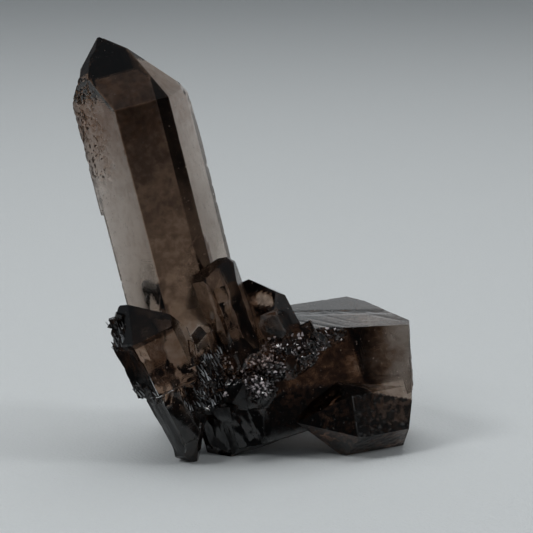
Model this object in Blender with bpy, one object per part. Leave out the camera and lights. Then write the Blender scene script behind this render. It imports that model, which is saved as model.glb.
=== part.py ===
"""Smoky quartz cluster: crystals grown together into one stone, in the pose it rests in.

The finished stone is in metres, +Z up. It stands on z = 0, and the origin is under the middle of its
box. +X runs along the lying crystal to its broken end, and -Y is the side with the broken black seam.
The tall crystal leans towards -X. Every dimension below is in millimetres or degrees, and the shapes
are joined at one unit to the millimetre, because unions lose short edges at a stone's true size.
"""

import math
import random

import bmesh
import bpy
from mathutils import Matrix, Vector, noise

MM = 0.001
NODE = "smoky_quartz_cluster"

# Quartz grows six prism faces, and its end faces turn this far from a prism face towards the tip
SIDES = 6
END_FACE_TURN = 38.2

# The surface that the stone stands on, in the frame of the points below. What the crystals have
# under it is ground away, which leaves small flats to rest on.
FLOOR = 0.0
GROUND_SIZE = (200.0, 200.0, 20.0)

# A crystal is cut from a blank prism, this many times its reach wide and this share of that width
# longer than the crystal
BLANK_WIDTH = 2.0
BLANK_ABOVE = 0.4

# Each crystal runs from its root to its tip. Face 0 looks to the front, turned by turn, and the
# others follow every 60 degrees. reach is each prism face's distance from the axis, and drop is how
# far each end face is cut below the tip, so a large drop makes a large end face. A cut is a further
# flat face: a point on it and the way that it looks.
TALL = {
    "root": (-8.0, 4.5, 16.0),
    "tip": (-23.3, 3.0, 80.5),
    "turn": 10.8,
    "reach": (9.8, 9.7, 8.8, 9.8, 10.0, 9.2),
    "drop": (0.0, 0.2, 2.9, -1.0, -3.0, -5.6),
    "cuts": (
        ((-10.1, 2.6, 69.5), (0.962, 0.0, 0.273)),
        ((-10.3, 3.0, 69.5), (0.83, -0.1, 0.55)),
    ),
}
TALL_HEAD = {
    "root": (-18.6, 3.45, 60.5),
    "tip": (-23.3, 3.0, 80.5),
    "turn": 10.8,
    "reach": (9.6, 5.0, 5.0, 9.2, 7.4, 8.4),
    "drop": (0.1, 0.3, 3.0, -0.9, -4.8, -4.4),
    "cuts": (),
}
TALL_STEP = {
    "root": (-15.7, 3.75, 48.5),
    "tip": (-23.3, 3.0, 80.5),
    "turn": 10.8,
    "reach": (8.8, 5.0, 5.0, 8.8, 10.8, 9.32),
    "drop": (0.3, 0.5, 3.2, -0.7, -2.8, -5.4),
    "cuts": (),
}
LYING = {
    "root": (38.0, 10.8, 17.5),
    "tip": (-10.3, 4.9, 3.6),
    "turn": 4.0,
    "reach": (12.0, 17.0, 16.5, 12.0, 11.0, 11.0),
    "drop": (-7.9, -6.0, -6.0, -6.0, -8.0, -12.0),
    "cuts": (
        ((20.0, 0.0, 25.0), (-0.02, -0.05, 1.0)),
        ((32.6, -2.0, 20.0), (1.0, -0.08, 0.06)),
        ((27.2, 14.8, 20.0), (0.7, 0.7, 0.14)),
        ((28.7, 12.0, 24.9), (0.42, 0.2, 0.885)),
        ((-9.0, -2.0, 6.5), (-0.88, 0.3, -0.36)),
        ((12.3, -4.4, 4.7), (0.345, 0.08, -1.0)),
    ),
}
LEFT_UP = {
    "root": (-14.2, -9.1, 15.2),
    "tip": (-21.7, -10.5, 32.2),
    "turn": 14.0,
    "reach": (5.6, 7.4, 7.2, 5.6, 5.2, 5.2),
    "drop": (0.0, -4.0, 1.2, -1.0, -1.6, 0.6),
    "cuts": (),
}
LEFT_DOWN = {
    "root": (-19.0, -9.6, 22.0),
    "tip": (-8.0, -7.9, -0.4),
    "turn": -12.0,
    "reach": (4.6, 3.1, 3.2, 4.6, 4.6, 4.8),
    "drop": (0.0, -0.6, -1.0, -0.6, 0.0, 0.6),
    "cuts": (),
}
MIDDLE = {
    "root": (1.0, -7.0, 19.0),
    "tip": (-6.2, -7.4, 40.2),
    "turn": 22.0,
    "reach": (4.2, 4.2, 3.8, 4.2, 4.0, 4.2),
    "drop": (0.4, -2.4, -1.4, 0.0, -4.0, -4.0),
    "cuts": (((-7.4, -9.0, 36.2), (-0.5, -0.25, 0.83)),),
}
RIGHT_UP = {
    "root": (11.3, -3.4, 17.6),
    "tip": (1.7, -4.2, 36.2),
    "turn": -16.0,
    "reach": (3.7, 3.8, 3.6, 3.7, 3.8, 3.8),
    "drop": (3.0, -1.0, 2.2, 0.0, -5.0, -3.0),
    "cuts": (),
}
LOW_RIGHT = {
    "root": (35.9, 6.7, 8.2),
    "tip": (10.7, -6.7, 7.2),
    "turn": 12.0,
    "reach": (7.0, 6.8, 8.0, 8.0, 7.2, 7.35),
    "drop": (0.0, 0.0, 0.0, 0.0, 0.0, 0.0),
    "cuts": (((32.8, -4.0, 8.0), (1.0, 0.0, -0.12)),),
}
BACK_FOOT = {
    "root": (-3.0, 6.0, 22.0),
    "tip": (-13.6, 17.4, -1.6),
    "turn": 20.0,
    "reach": (6.4, 6.2, 6.6, 6.2, 6.4, 6.2),
    "drop": (0.0, 1.0, 0.0, 1.4, 0.0, 0.6),
    "cuts": (),
}
BACK_STUB = {
    "root": (2.0, 7.0, 14.0),
    "tip": (-11.6, 17.4, 34.0),
    "turn": 8.0,
    "reach": (4.6, 4.4, 4.6, 4.8, 4.4, 4.6),
    "drop": (0.0, 0.6, 1.8, 0.0, 0.4, 1.2),
    "cuts": (),
}
CRYSTALS = {
    "tall": TALL,
    "tall_head": TALL_HEAD,
    "tall_step": TALL_STEP,
    "lying": LYING,
    "left_up": LEFT_UP,
    "left_down": LEFT_DOWN,
    "middle": MIDDLE,
    "right_up": RIGHT_UP,
    "low_right": LOW_RIGHT,
    "back_foot": BACK_FOOT,
    "back_stub": BACK_STUB,
}

# The broken stone between the crystals: lumps with flat chips, each a centre, half sizes and a seed
LUMPS = {
    "heart": ((-5.5, -1.5, 18.0), (9.5, 9.0, 9.5), 3),
    "seam_low": ((1.6, -7.4, 14.2), (5.8, 3.8, 4.8), 5),
    "seam_high": ((8.8, -5.6, 20.4), (6.2, 3.6, 4.6), 7),
    "streaked": ((-5.5, -8.1, 15.5), (5.2, 3.9, 7.0), 9),
    "back": ((-2.0, 11.0, 14.0), (9.0, 7.5, 9.0), 11),
}
LUMP_DETAIL = 3
LUMP_GRAIN = 1.9
LUMP_ROUGHNESS = 0.2
LUMP_SEED_STEP = (3.1, 1.7, 2.3)
LUMP_CHIPS = 34
CHIP_DEPTH = 0.72  # share of a lump's half size that is left at the deepest chip
CHIP_SHALLOW = 0.98

# Splinters along the black seam and at the left crystal's broken shoulder: a start, an end, how
# many, their half size, and a seed
SPLINTERS = {
    "seam": ((-1.5, -10.6, 11.6), (14.6, -6.2, 24.4), 22, 1.5, 21),
    "streaks": ((-10.0, -11.2, 22.0), (-4.0, -11.0, 9.0), 10, 1.2, 25),
    "shoulder": ((-23.4, -11.0, 29.0), (-23.3, -10.8, 26.0), 5, 0.55, 23),
    "back": ((-6.0, 14.0, 20.0), (6.0, 17.0, 10.0), 8, 2.0, 27),
}
SPLINTER_STRETCH = (0.8, 1.5)
SPLINTER_FACETS = 3
SPLINTER_FACET = 0.9  # how far out a splinter's extra faces are cut, as a share of its half size

WELD = 0.01  # corners of the joined stone nearer than this are made one

STONE_COLOUR = (0.055, 0.038, 0.028, 1.0)
STONE_ROUGHNESS = 0.14
STONE_IOR = 1.544
STONE_CLEARNESS = 0.6


def clear_scene():
    for thing in list(bpy.data.objects):
        bpy.data.objects.remove(thing)


def collection(name):
    made = bpy.data.collections.new(name)
    bpy.context.scene.collection.children.link(made)
    return made


def slice_off(mesh, point, normal):
    """Cut the solid flat at a plane, and close it there."""
    parts = mesh.verts[:] + mesh.edges[:] + mesh.faces[:]
    cut = bmesh.ops.bisect_plane(mesh, geom=parts, plane_co=point, plane_no=normal, clear_outer=True)
    rim = [part for part in cut["geom_cut"] if isinstance(part, bmesh.types.BMEdge)]
    if rim:
        bmesh.ops.holes_fill(mesh, edges=rim, sides=0)


def growth_frame(spec):
    """A frame with its origin at the crystal's tip, Z along its axis and X to the front."""
    tip = Vector(spec["tip"])
    axis = (tip - Vector(spec["root"])).normalized()
    front = Vector((0.0, -1.0, 0.0))
    front = (front - axis * front.dot(axis)).normalized()
    side = axis.cross(front)
    turned = Matrix((front, side, axis)).transposed().to_4x4()
    return Matrix.Translation(tip) @ turned


def grow_crystal(name, spec, home):
    """A six-sided prism cut to its six prism faces, its six end faces and any further face."""
    length = (Vector(spec["tip"]) - Vector(spec["root"])).length
    width = BLANK_WIDTH * max(spec["reach"])
    mesh = bmesh.new()
    above = BLANK_ABOVE * width
    bmesh.ops.create_cone(
        mesh,
        cap_ends=True,
        segments=SIDES,
        radius1=width,
        radius2=width,
        depth=length + above,
        matrix=Matrix.Translation((0.0, 0.0, 0.5 * (above - length))),
    )
    tilt = math.radians(END_FACE_TURN)
    for k in range(SIDES):
        angle = math.radians(spec["turn"] + 360.0 * k / SIDES)
        outward = Vector((math.cos(angle), math.sin(angle), 0.0))
        slice_off(mesh, outward * spec["reach"][k], outward)
        end_normal = outward * math.cos(tilt) + Vector((0.0, 0.0, math.sin(tilt)))
        slice_off(mesh, Vector((0.0, 0.0, -spec["drop"][k])), end_normal)
    bmesh.ops.transform(mesh, matrix=growth_frame(spec), verts=mesh.verts)
    for point, normal in spec["cuts"]:
        slice_off(mesh, Vector(point), Vector(normal).normalized())
    return finish(name, mesh, home)


def break_lump(name, spec, home):
    """A rough ball with chips knocked off it, as broken quartz between crystals."""
    centre, half, seed = spec
    draw = random.Random(seed)
    mesh = bmesh.new()
    bmesh.ops.create_icosphere(mesh, subdivisions=LUMP_DETAIL, radius=1.0)
    offset = Vector(LUMP_SEED_STEP) * seed
    for vert in mesh.verts:
        swell = 1.0 + LUMP_ROUGHNESS * noise.noise(vert.co * LUMP_GRAIN + offset)
        vert.co = vert.co * swell
    for _ in range(LUMP_CHIPS):
        normal = Vector([draw.gauss(0.0, 1.0) for _ in range(3)]).normalized()
        slice_off(mesh, normal * draw.uniform(CHIP_DEPTH, CHIP_SHALLOW), normal)
    size = Matrix.Diagonal(Vector(half)).to_4x4()
    bmesh.ops.transform(mesh, matrix=Matrix.Translation(Vector(centre)) @ size, verts=mesh.verts)
    return finish(name, mesh, home)


def scatter_splinters(name, spec, home):
    """Angular splinters along a line, each its own small solid."""
    start, end, count, half, seed = spec
    draw = random.Random(seed)
    made = []
    for k in range(count):
        along = (k + 0.5) / count
        place = Vector(start).lerp(Vector(end), along)
        place += Vector([draw.uniform(-1.0, 1.0) * half for _ in range(3)])
        turn = Matrix.Rotation(draw.uniform(0.0, math.tau), 4, Vector((draw.random(), 1.0, draw.random())))
        stretch = Matrix.Diagonal([half * draw.uniform(*SPLINTER_STRETCH) for _ in range(3)]).to_4x4()
        mesh = bmesh.new()
        bmesh.ops.create_cube(mesh, size=2.0, matrix=Matrix.Translation(place) @ turn @ stretch)
        for _ in range(SPLINTER_FACETS):
            normal = Vector([draw.gauss(0.0, 1.0) for _ in range(3)]).normalized()
            slice_off(mesh, place + normal * half * SPLINTER_FACET, normal)
        made.append(finish(f"{name}_{k}", mesh, home))
    return made


def finish(name, mesh, home):
    bmesh.ops.recalc_face_normals(mesh, faces=mesh.faces)
    data = bpy.data.meshes.new(name)
    mesh.to_mesh(data)
    mesh.free()
    made = bpy.data.objects.new(name, data)
    home.objects.link(made)
    return made


def hide_helper(helper):
    helper.hide_render = True
    helper.display_type = "WIRE"


def smoky_quartz():
    made = bpy.data.materials.new("smoky quartz")
    made.use_nodes = True
    shader = made.node_tree.nodes["Principled BSDF"]
    shader.inputs["Base Color"].default_value = STONE_COLOUR
    shader.inputs["Roughness"].default_value = STONE_ROUGHNESS
    shader.inputs["Metallic"].default_value = 0.0
    shader.inputs["IOR"].default_value = STONE_IOR
    shader.inputs["Transmission Weight"].default_value = STONE_CLEARNESS
    made.diffuse_color = STONE_COLOUR
    return made


def join_solids(body, helpers, ground):
    """Union every helper with the body, one after another, and take away what is under the floor."""
    for helper in helpers + [ground]:
        union = body.modifiers.new(helper.name, "BOOLEAN")
        union.operation = "DIFFERENCE" if helper == ground else "UNION"
        union.solver = "EXACT"
        union.object = helper
    evaluated = body.evaluated_get(bpy.context.evaluated_depsgraph_get())
    joined = bpy.data.meshes.new_from_object(evaluated)
    body.modifiers.clear()
    body.data = joined


def fill_pockets(body):
    """Weld corners that all but touch, and keep only the outer surface, so no pocket stays sealed."""
    mesh = bmesh.new()
    mesh.from_mesh(body.data)
    bmesh.ops.triangulate(mesh, faces=mesh.faces)
    bmesh.ops.dissolve_degenerate(mesh, dist=WELD, edges=mesh.edges)
    loose = [edge for edge in mesh.edges if not edge.link_faces]
    bmesh.ops.delete(mesh, geom=loose, context="EDGES")
    waiting = set(mesh.faces)
    shells = []
    while waiting:
        shell = set()
        edge_of_search = [waiting.pop()]
        while edge_of_search:
            face = edge_of_search.pop()
            shell.add(face)
            touching = {other for edge in face.edges for other in edge.link_faces}
            edge_of_search += touching & waiting
            waiting -= touching
        shells.append(shell)
    shells.sort(key=lambda shell: sum(face.calc_area() for face in shell))
    inner = [face for shell in shells[:-1] for face in shell]
    bmesh.ops.delete(mesh, geom=inner, context="FACES")
    mesh.to_mesh(body.data)
    mesh.free()


def floor_block(home):
    """The space under the surface that the stone stands on."""
    mesh = bmesh.new()
    size = Matrix.Diagonal(Vector(GROUND_SIZE)).to_4x4()
    middle = Vector((0.0, 0.0, FLOOR - 0.5 * GROUND_SIZE[2]))
    bmesh.ops.create_cube(mesh, size=1.0, matrix=Matrix.Translation(middle) @ size)
    return finish("under the floor", mesh, home)


def centre_on_base(body):
    """Move the origin to the middle of the box's base, and bring the stone to metres."""
    corners = [vert.co.copy() for vert in body.data.vertices]
    low = Vector([min(corner[k] for corner in corners) for k in range(3)])
    high = Vector([max(corner[k] for corner in corners) for k in range(3)])
    middle = 0.5 * (low + high)
    to_base = Matrix.Translation((-middle.x, -middle.y, -low.z))
    body.data.transform(Matrix.Scale(MM, 4) @ to_base)


def main():
    clear_scene()
    stone_home = collection("smoky quartz crystal")
    helper_home = collection("shapes joined into the stone")
    helpers = [grow_crystal(name, spec, helper_home) for name, spec in CRYSTALS.items()]
    helpers += [break_lump(name, spec, helper_home) for name, spec in LUMPS.items()]
    for name, spec in SPLINTERS.items():
        helpers += scatter_splinters(name, spec, helper_home)
    ground = floor_block(helper_home)
    for helper in helpers + [ground]:
        hide_helper(helper)
    stone = bpy.data.objects.new(NODE, helpers[0].data.copy())
    stone_home.objects.link(stone)
    join_solids(stone, helpers[1:], ground)
    fill_pockets(stone)
    centre_on_base(stone)
    stone.data.materials.clear()
    stone.data.materials.append(smoky_quartz())


main()
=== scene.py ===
import math

import bmesh
import bpy
import numpy as np
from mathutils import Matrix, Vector, noise
from mathutils.geometry import delaunay_2d_cdt


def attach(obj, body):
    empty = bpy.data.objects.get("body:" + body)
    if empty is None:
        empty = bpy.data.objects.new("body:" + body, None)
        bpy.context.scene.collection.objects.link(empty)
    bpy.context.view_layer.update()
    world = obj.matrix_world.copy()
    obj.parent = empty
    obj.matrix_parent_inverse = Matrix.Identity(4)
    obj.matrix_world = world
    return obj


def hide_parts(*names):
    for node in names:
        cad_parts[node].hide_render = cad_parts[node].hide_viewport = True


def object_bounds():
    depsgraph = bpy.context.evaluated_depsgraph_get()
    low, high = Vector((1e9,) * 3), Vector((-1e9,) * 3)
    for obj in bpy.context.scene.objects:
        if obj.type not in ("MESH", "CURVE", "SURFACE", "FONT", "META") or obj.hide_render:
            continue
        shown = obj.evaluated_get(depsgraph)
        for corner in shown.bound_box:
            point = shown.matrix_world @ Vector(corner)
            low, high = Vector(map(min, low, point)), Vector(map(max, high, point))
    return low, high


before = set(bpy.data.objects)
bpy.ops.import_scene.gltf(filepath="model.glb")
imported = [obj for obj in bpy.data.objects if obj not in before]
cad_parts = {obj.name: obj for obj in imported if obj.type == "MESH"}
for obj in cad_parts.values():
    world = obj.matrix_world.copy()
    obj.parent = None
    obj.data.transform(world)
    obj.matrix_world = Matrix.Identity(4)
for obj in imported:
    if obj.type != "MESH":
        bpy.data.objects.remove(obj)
cadLow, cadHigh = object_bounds()
mm = 0.001
stoneNode = "smoky_quartz_cluster"

# Where each crystal's axis runs, root to tip, in millimetres, and how far its faces stand from it
crystals = {
    "tall": {"root": (-8.9, 1.6, 16.0), "tip": (-24.2, 0.1, 80.5), "reach": 11.0},
    "lying": {"root": (37.1, 7.9, 17.5), "tip": (-11.2, 2.0, 3.6), "reach": 15.0},
    "leftUp": {"root": (-15.1, -12.0, 15.2), "tip": (-22.6, -13.4, 32.2), "reach": 7.4},
    "leftDown": {"root": (-19.9, -12.5, 22.0), "tip": (-8.9, -10.8, -0.4), "reach": 4.8},
    "middle": {"root": (0.1, -9.9, 19.0), "tip": (-7.1, -10.3, 40.2), "reach": 4.4},
    "rightUp": {"root": (10.4, -6.3, 17.6), "tip": (0.8, -7.1, 36.2), "reach": 4.0},
    "lowRight": {"root": (35.0, 3.8, 8.2), "tip": (9.8, -9.6, 7.2), "reach": 8.0},
    "backFoot": {"root": (-3.9, 3.1, 22.0), "tip": (-14.5, 14.5, -1.6), "reach": 6.6},
    "backStub": {"root": (1.1, 4.1, 14.0), "tip": (-12.5, 14.5, 34.0), "reach": 4.8},
}

# Where the tall crystal's sides point, in degrees about its axis, counted from the camera's side
tallTurns = {"front": 10.8, "left": -49.2, "edges": 90.0}


def smooth(value, low, high):
    t = np.clip((value - low) / (high - low), 0.0, 1.0)
    return t * t * (3.0 - 2.0 * t)


def axisOf(name):
    root = Vector(crystals[name]["root"])
    tip = Vector(crystals[name]["tip"])
    return root, tip, (tip - root).normalized()


def nearestCrystal(place):
    best, bestShare = None, 1e9
    for name, spec in crystals.items():
        root, tip, axis = axisOf(name)
        along = (place - root).dot(axis)
        along = min(max(along, 0.0), (tip - root).length)
        share = (place - root - axis * along).length / spec["reach"]
        if share < bestShare:
            best, bestShare = name, share
    return best


# The camera stands where the photograph's did
photoView = {
    "lens": 135.0,
    "sensor": 36.0,
    "distance": 0.384,
    "elevation": 12.0,
    "target": (0.00401, -0.00288, 0.0364),
    "nearest": 0.01,
    "farthest": 50.0,
}


def makeCamera():
    lens = bpy.data.cameras.new("photoCamera")
    lens.lens = photoView["lens"]
    lens.sensor_width = photoView["sensor"]
    lens.clip_start = photoView["nearest"]
    lens.clip_end = photoView["farthest"]
    camera = bpy.data.objects.new("photoCamera", lens)
    tilt = math.radians(photoView["elevation"])
    back = Vector((0.0, -math.cos(tilt), math.sin(tilt)))
    camera.location = Vector(photoView["target"]) + back * photoView["distance"]
    camera.rotation_euler = back.to_track_quat("Z", "Y").to_euler()
    bpy.context.scene.collection.objects.link(camera)
    bpy.context.scene.camera = camera


def linkNodes(tree, pairs):
    for source, target in pairs:
        tree.links.new(source, target)


def mixColours(tree, first, second, share):
    node = tree.nodes.new("ShaderNodeMix")
    node.data_type = "RGBA"
    for socket, value in (("A", first), ("B", second), ("Factor", share)):
        if isinstance(value, bpy.types.NodeSocket):
            tree.links.new(value, node.inputs[socket])
        else:
            node.inputs[socket].default_value = value
    return node.outputs["Result"]


def calculate(tree, operation, first, second):
    node = tree.nodes.new("ShaderNodeMath")
    node.operation = operation
    for k, value in enumerate((first, second)):
        if isinstance(value, bpy.types.NodeSocket):
            tree.links.new(value, node.inputs[k])
        else:
            node.inputs[k].default_value = value
    return node.outputs["Value"]


def readAttribute(tree, name):
    node = tree.nodes.new("ShaderNodeAttribute")
    node.attribute_name = name
    return node.outputs["Fac"]


def smoothLimit(tree, low, high):
    node = tree.nodes.new("ShaderNodeMapRange")
    node.interpolation_type = "SMOOTHSTEP"
    node.inputs["From Min"].default_value = low
    node.inputs["From Max"].default_value = high
    return node


def fillRamp(ramp, stops):
    elements = ramp.color_ramp.elements
    for element, (place, colour) in zip((elements[0], elements[1]), (stops[0], stops[-1])):
        element.position = place
        element.color = colour
    for place, colour in stops[1:-1]:
        elements.new(place).color = colour


# In the stone's mirrors the floor carries painted shade: it is painted dark in front and on a spot at the
# left
floorLook = {
    "radius": 6.0,
    "sides": 96,
    "gap": 0.00002,
    "colour": (0.612, 0.640, 0.648, 1.0),
    "roughness": 0.9,
    "sheen": 0.1,
    "threadsPerMetre": 1500.0,
    "threadDetail": 2.0,
    "threadDepth": 0.0003,
    "threadStrength": 0.5,
    "paintedShadeColour": (0.03, 0.032, 0.034, 1.0),
    "unlitFrom": -0.025,
    "unlitTo": -0.075,
    "darkSpot": (-0.072, -0.008, 0.0),
    "darkSpotSize": 0.03,
    "darkSpotFade": 0.02,
}


def makeFloor():
    mesh = bmesh.new()
    bmesh.ops.create_circle(
        mesh, cap_ends=True, segments=floorLook["sides"], radius=floorLook["radius"]
    )
    bmesh.ops.translate(mesh, verts=mesh.verts, vec=(0.0, 0.0, cadLow.z - floorLook["gap"]))
    data = bpy.data.meshes.new("floor")
    mesh.to_mesh(data)
    mesh.free()
    floor = bpy.data.objects.new("floor", data)
    bpy.context.scene.collection.objects.link(floor)
    look = bpy.data.materials.new("paleCloth")
    look.use_nodes = True
    tree = look.node_tree
    shader = tree.nodes["Principled BSDF"]
    shader.inputs["Roughness"].default_value = floorLook["roughness"]
    shader.inputs["Specular IOR Level"].default_value = floorLook["sheen"]
    place = tree.nodes.new("ShaderNodeTexCoord")
    grain = tree.nodes.new("ShaderNodeTexNoise")
    grain.inputs["Scale"].default_value = floorLook["threadsPerMetre"]
    grain.inputs["Detail"].default_value = floorLook["threadDetail"]
    bump = tree.nodes.new("ShaderNodeBump")
    bump.inputs["Distance"].default_value = floorLook["threadDepth"]
    bump.inputs["Strength"].default_value = floorLook["threadStrength"]
    split = tree.nodes.new("ShaderNodeSeparateXYZ")
    inFront = smoothLimit(tree, floorLook["unlitFrom"], floorLook["unlitTo"])
    toSpot = tree.nodes.new("ShaderNodeVectorMath")
    toSpot.operation = "DISTANCE"
    toSpot.inputs[1].default_value = floorLook["darkSpot"]
    spotEdge = floorLook["darkSpotSize"] + floorLook["darkSpotFade"]
    inSpot = smoothLimit(tree, spotEdge, floorLook["darkSpotSize"])
    # painted shade on the floor, for every ray but the camera's own
    unlit = calculate(tree, "MAXIMUM", inFront.outputs["Result"], inSpot.outputs["Result"])
    path = tree.nodes.new("ShaderNodeLightPath")
    mirrored = calculate(tree, "SUBTRACT", unlit, path.outputs["Is Camera Ray"])
    mirrored.node.use_clamp = True
    colour = mixColours(tree, floorLook["colour"], floorLook["paintedShadeColour"], mirrored)
    linkNodes(tree, (
        (place.outputs["Object"], split.inputs["Vector"]),
        (split.outputs["Y"], inFront.inputs["Value"]),
        (place.outputs["Object"], toSpot.inputs[0]),
        (toSpot.outputs["Value"], inSpot.inputs["Value"]),
        (colour, shader.inputs["Base Color"]),
        (place.outputs["Object"], grain.inputs["Vector"]),
        (grain.outputs["Fac"], bump.inputs["Height"]),
        (bump.outputs["Normal"], shader.inputs["Normal"]),
    ))
    data.materials.append(look)


# The room is bright behind the stone and dark behind the camera, so that black faces stay black
studio = {
    "shades": (
        (0.08, (0.030, 0.032, 0.034, 1.0)),
        (0.3, (0.055, 0.058, 0.062, 1.0)),
        (0.5, (0.42, 0.44, 0.45, 1.0)),
        (0.72, (0.62, 0.64, 0.655, 1.0)),
    ),
    "topShade": (0.12, 0.13, 0.14, 1.0),
    "topFrom": 0.2,
    "topTo": 0.7,
    "leftShade": (0.14, 0.15, 0.16, 1.0),
    "leftFrom": -0.5,
    "leftTo": -0.9,
    "seenShade": (0.40, 0.42, 0.43, 1.0),
}


def makeWorld():
    world = bpy.data.worlds.new("studio")
    bpy.context.scene.world = world
    world.use_nodes = True
    tree = world.node_tree
    tree.nodes.clear()
    place = tree.nodes.new("ShaderNodeTexCoord")
    split = tree.nodes.new("ShaderNodeSeparateXYZ")
    shade = tree.nodes.new("ShaderNodeValToRGB")
    fillRamp(shade, studio["shades"])
    fromFront = tree.nodes.new("ShaderNodeMapRange")
    fromFront.inputs["From Min"].default_value = -1.0
    upward = smoothLimit(tree, studio["topFrom"], studio["topTo"])
    leftward = smoothLimit(tree, studio["leftFrom"], studio["leftTo"])
    path = tree.nodes.new("ShaderNodeLightPath")
    room = mixColours(tree, shade.outputs["Color"], studio["topShade"], upward.outputs["Result"])
    room = mixColours(tree, room, studio["leftShade"], leftward.outputs["Result"])
    room = mixColours(tree, room, studio["seenShade"], path.outputs["Is Camera Ray"])
    glow = tree.nodes.new("ShaderNodeBackground")
    out = tree.nodes.new("ShaderNodeOutputWorld")
    linkNodes(tree, (
        (place.outputs["Generated"], split.inputs["Vector"]),
        (split.outputs["Y"], fromFront.inputs["Value"]),
        (split.outputs["Z"], upward.inputs["Value"]),
        (split.outputs["X"], leftward.inputs["Value"]),
        (fromFront.outputs["Result"], shade.inputs["Fac"]),
        (room, glow.inputs["Color"]),
        (glow.outputs["Background"], out.inputs["Surface"]),
    ))


# The softbox lights the stone without showing in its faces, and the two windows do show
lamps = {
    "softbox": {"power": 4.8, "size": 0.8, "place": (-0.05, 0.12, 1.0), "mirrored": False},
    "window": {"power": 2.4, "size": 0.26, "place": (-0.55, -0.36, 0.78), "mirrored": True},
    "sideWindow": {"power": 1.6, "size": 0.2, "place": (0.75, -0.25, 0.6), "mirrored": True},
}


def makeLamps():
    for name, spec in lamps.items():
        lamp = bpy.data.lights.new(name, "AREA")
        lamp.size = spec["size"]
        lamp.energy = spec["power"]
        lit = bpy.data.objects.new(name, lamp)
        lit.location = spec["place"]
        lit.rotation_euler = Vector(spec["place"]).to_track_quat("Z", "Y").to_euler()
        lit.visible_glossy = spec["mirrored"]
        lit.visible_transmission = spec["mirrored"]
        bpy.context.scene.collection.objects.link(lit)


# Sizes and depths of the stone's surface, in millimetres, and its angles, in degrees
stone = {
    "grid": 0.55,
    "fineGrid": 0.28,
    "quickGrid": 0.9,
    "rimShare": 0.45,
    "spaceShare": 0.6,
    "etchedFaces": 0.98,
    "spotFade": (0.75, 1.05),
    "weld": 0.0005,
    "flatAngle": 0.4,
    "sharpAngle": 14.0,
    "flatness": 0.03,
    "restHeight": 0.4,
    "facetSeed": 7,
    "stepDepth": 0.03,
    "etchDepth": 0.22,
    "chipDepth": 0.2,
    "chipWidth": 0.5,
    "brokenDepth": 0.55,
    "roughDepth": 0.2,
    "leftFaceReach": 9.18,
    "slabHeight": 0.3,
    "slabWeld": 0.01,
}

# Where the stone between the crystals is broken, in millimetres: middle, half sizes, way of its grain
brokenPlaces = (
    {"middle": (3.5, -12.8, 17.0), "half": (5.6, 4.0, 5.4), "grain": (0.5, 0.0, 0.87)},
    {"middle": (9.5, -9.0, 21.5), "half": (7.6, 4.6, 3.6), "grain": (0.8, 0.0, 0.6)},
    {"middle": (16.2, -6.0, 23.6), "half": (3.8, 2.2, 1.7), "grain": (0.9, 0.0, 0.4)},
    {"middle": (-6.4, -12.6, 16.5), "half": (4.8, 4.2, 7.2), "grain": (0.42, 0.05, -0.9)},
    {"middle": (-10.6, -13.0, 12.0), "half": (2.6, 3.0, 4.6), "grain": (0.42, 0.05, -0.9)},
    {"middle": (-24.2, -14.6, 25.4), "half": (2.0, 3.0, 3.0), "grain": (0.45, 0.0, -0.9)},
    {"middle": (-18.3, -14.6, 14.0), "half": (4.2, 3.6, 2.4), "grain": (0.42, 0.05, -0.9)},
    {"middle": (-3.0, 6.5, 15.5), "half": (6.0, 5.5, 6.0), "grain": (0.3, 0.3, 0.9)},
)
brokenFacetSizes = {
    "coarse": 1.5,
    "fine": 0.7,
    "stretch": 2.0,
    "base": 0.55,
    "coarseShare": 0.8,
    "fineShare": 0.4,
}

# Where a crystal's faces are stepped into ridges along its length
ridgedPlaces = (
    {"middle": (-4.0, -8.5, 6.5), "half": (8.5, 8.5, 7.0), "grain": (0.3, 0.0, -0.95), "depth": 1.0},
    {"middle": (-18.0, -14.5, 18.5), "half": (7.5, 7.5, 8.0), "grain": (-0.4, -0.07, 0.91), "depth": 0.6},
    {"middle": (-14.5, -13.0, 8.5), "half": (7.5, 8.0, 8.0), "grain": (0.45, 0.07, -0.89), "depth": 0.7},
    {"middle": (-2.5, -11.5, 28.0), "half": (5.0, 5.0, 7.0), "grain": (-0.32, 0.0, 0.95), "depth": 0.45},
    {"middle": (6.0, -9.5, 26.5), "half": (3.5, 4.0, 3.0), "grain": (-0.46, 0.0, 0.89), "depth": 0.4},
)
ridgeSizes = {
    "coarse": 3.4,
    "fine": 1.3,
    "stretch": 3.0,
    "base": -0.2,
    "coarseShare": 1.3,
    "fineShare": 0.25,
}


# The slab behind the left silhouette doesn't show as a ledge on the face
def flattenLeftFace(mesh):
    way = Vector(faceWay("tall", tallTurns["left"]))
    root = Vector(crystals["tall"]["root"])
    for vert in mesh.verts:
        over = (vert.co - root).dot(way) - stone["leftFaceReach"]
        if 0.0 < over < stone["slabHeight"] and nearestCrystal(vert.co) == "tall":
            vert.co -= way * over
    bmesh.ops.remove_doubles(mesh, verts=mesh.verts, dist=stone["slabWeld"])
    bmesh.ops.dissolve_degenerate(mesh, edges=mesh.edges, dist=stone["slabWeld"])


def cadCopy():
    mesh = bmesh.new()
    mesh.from_mesh(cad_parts[stoneNode].data)
    bmesh.ops.scale(mesh, vec=(1.0 / mm,) * 3, verts=mesh.verts)
    bmesh.ops.remove_doubles(mesh, verts=mesh.verts, dist=stone["weld"])
    flattenLeftFace(mesh)
    bmesh.ops.dissolve_limit(
        mesh, angle_limit=math.radians(stone["flatAngle"]), verts=mesh.verts, edges=mesh.edges
    )
    return mesh


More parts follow.
